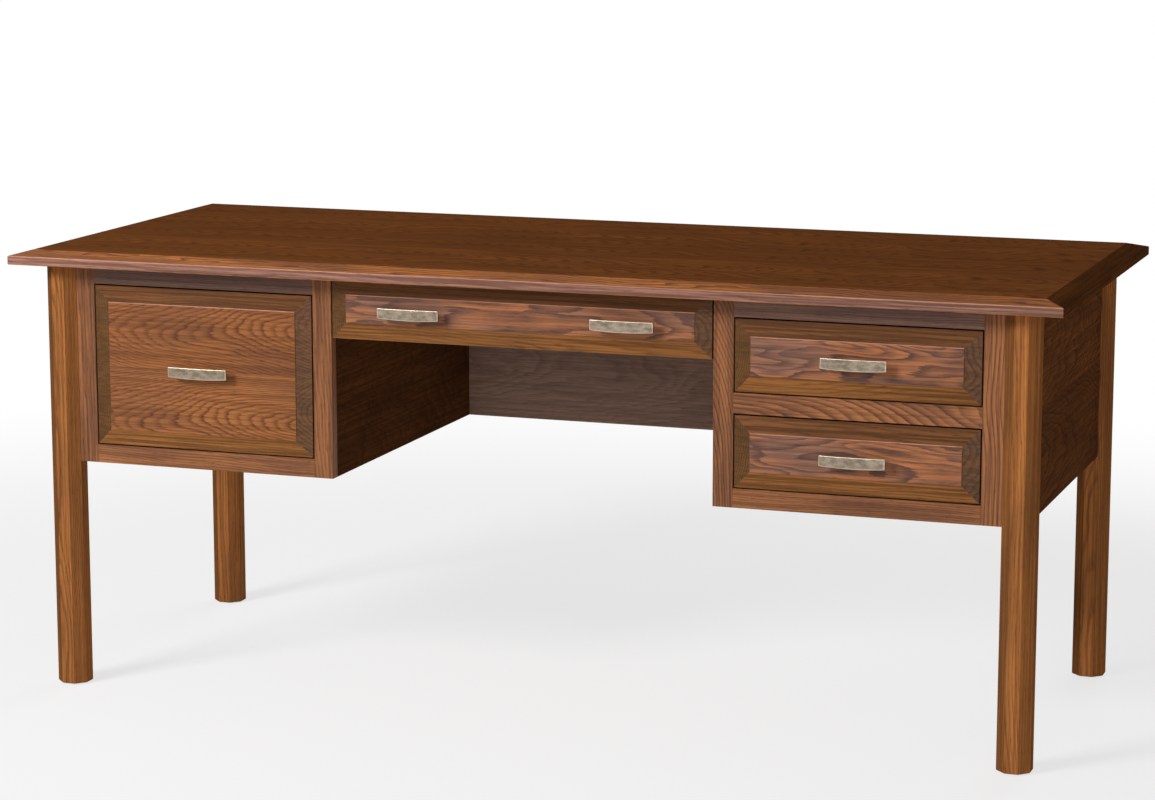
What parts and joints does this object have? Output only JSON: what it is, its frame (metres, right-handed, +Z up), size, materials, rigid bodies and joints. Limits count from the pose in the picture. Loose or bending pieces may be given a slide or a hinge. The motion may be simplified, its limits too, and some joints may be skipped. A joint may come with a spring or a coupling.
{
  "type": "office desk",
  "caption": "Wide wooden office desk on octagonal legs, with a knee-hole between drawer pedestals, raised drawer fronts with bowed metal pulls, and a top with a bevelled edge.",
  "frame": {"origin": "on the floor under the middle of the top", "axes": "+X along the desk to the sitter's right, +Y from the sitter to the back, +Z up"},
  "size_m": [1.83, 0.776, 0.773],
  "materials": {
    "stained_oak_top": "brown stained oak under satin lacquer, bevelled edge",
    "stained_oak_fronts": "brown stained oak with cathedral grain under satin lacquer",
    "stained_oak_carcase": "brown stained oak under satin lacquer",
    "drawer_box_wood": "pale clear-lacquered hardwood",
    "bare_wood": "bare sawn wood",
    "pewter_pulls": "aged pewter plate on a cast pull",
    "slide_steel": "zinc plated",
    "screw_steel": "zinc plated",
    "glide_plastic": "dark moulded plastic"
  },
  "bodies": {
    "carcase": {"back_left_leg": "stained_oak_carcase", "back_panel": "stained_oak_carcase", "back_right_leg": "stained_oak_carcase", "carcase_slide_channels": "slide_steel", "front_left_leg": "stained_oak_carcase", "front_right_leg": "stained_oak_carcase", "left_bottom_rail": "stained_oak_carcase", "left_end_panel": "stained_oak_carcase", "left_knee_panel": "stained_oak_carcase", "left_pedestal_bottom": "stained_oak_carcase", "left_stiles": "stained_oak_carcase", "left_top_rail": "stained_oak_carcase", "leg_glides": "glide_plastic", "right_bottom_rail": "stained_oak_carcase", "right_end_panel": "stained_oak_carcase", "right_knee_panel": "stained_oak_carcase", "right_middle_rail": "stained_oak_carcase", "right_pedestal_bottom": "stained_oak_carcase", "right_stiles": "stained_oak_carcase", "right_top_rail": "stained_oak_carcase", "slide_packers": "bare_wood", "top_back_band": "stained_oak_top", "top_cleats": "bare_wood", "top_field_panel": "stained_oak_top", "top_front_band": "stained_oak_top", "top_left_band": "stained_oak_top", "top_right_band": "stained_oak_top", "top_screws": "screw_steel"},
    "file_drawer": {"file_drawer_bottom": "drawer_box_wood", "file_drawer_box_ends": "drawer_box_wood", "file_drawer_box_sides": "drawer_box_wood", "file_drawer_front": "stained_oak_fronts", "file_drawer_pull_screws": "screw_steel", "file_drawer_pulls": "pewter_pulls", "file_drawer_slide_channels": "slide_steel"},
    "file_drawer_middle_slides": {"file_drawer_middle_channels": "slide_steel"},
    "pencil_drawer": {"pencil_drawer_bottom": "drawer_box_wood", "pencil_drawer_box_ends": "drawer_box_wood", "pencil_drawer_box_sides": "drawer_box_wood", "pencil_drawer_front": "stained_oak_fronts", "pencil_drawer_pull_screws": "screw_steel", "pencil_drawer_pulls": "pewter_pulls", "pencil_drawer_slide_channels": "slide_steel"},
    "pencil_drawer_middle_slides": {"pencil_drawer_middle_channels": "slide_steel"},
    "upper_drawer": {"upper_drawer_bottom": "drawer_box_wood", "upper_drawer_box_ends": "drawer_box_wood", "upper_drawer_box_sides": "drawer_box_wood", "upper_drawer_front": "stained_oak_fronts", "upper_drawer_pull_screws": "screw_steel", "upper_drawer_pulls": "pewter_pulls", "upper_drawer_slide_channels": "slide_steel"},
    "upper_drawer_middle_slides": {"upper_drawer_middle_channels": "slide_steel"},
    "lower_drawer": {"lower_drawer_bottom": "drawer_box_wood", "lower_drawer_box_ends": "drawer_box_wood", "lower_drawer_box_sides": "drawer_box_wood", "lower_drawer_front": "stained_oak_fronts", "lower_drawer_pull_screws": "screw_steel", "lower_drawer_pulls": "pewter_pulls", "lower_drawer_slide_channels": "slide_steel"},
    "lower_drawer_middle_slides": {"lower_drawer_middle_channels": "slide_steel"}
  },
  "joints": [
    {"name": "file_drawer_slide", "type": "slide", "parent": "carcase", "child": "file_drawer", "axis": [0, -1, 0], "range_m": [0, 0.5]},
    {"name": "file_drawer_middle_slide", "type": "slide", "parent": "carcase", "child": "file_drawer_middle_slides", "axis": [0, -1, 0], "range_m": [0, 0.25]},
    {"name": "pencil_drawer_slide", "type": "slide", "parent": "carcase", "child": "pencil_drawer", "axis": [0, -1, 0], "range_m": [0, 0.4]},
    {"name": "pencil_drawer_middle_slide", "type": "slide", "parent": "carcase", "child": "pencil_drawer_middle_slides", "axis": [0, -1, 0], "range_m": [0, 0.2]},
    {"name": "upper_drawer_slide", "type": "slide", "parent": "carcase", "child": "upper_drawer", "axis": [0, -1, 0], "range_m": [0, 0.5]},
    {"name": "upper_drawer_middle_slide", "type": "slide", "parent": "carcase", "child": "upper_drawer_middle_slides", "axis": [0, -1, 0], "range_m": [0, 0.25]},
    {"name": "lower_drawer_slide", "type": "slide", "parent": "carcase", "child": "lower_drawer", "axis": [0, -1, 0], "range_m": [0, 0.5]},
    {"name": "lower_drawer_middle_slide", "type": "slide", "parent": "carcase", "child": "lower_drawer_middle_slides", "axis": [0, -1, 0], "range_m": [0, 0.25]}
  ],
  "couplings": [
    {"joint": "file_drawer_middle_slide", "follows": "file_drawer_slide", "ratio": 0.5},
    {"joint": "pencil_drawer_middle_slide", "follows": "pencil_drawer_slide", "ratio": 0.5},
    {"joint": "upper_drawer_middle_slide", "follows": "upper_drawer_slide", "ratio": 0.5},
    {"joint": "lower_drawer_middle_slide", "follows": "lower_drawer_slide", "ratio": 0.5}
  ]
}
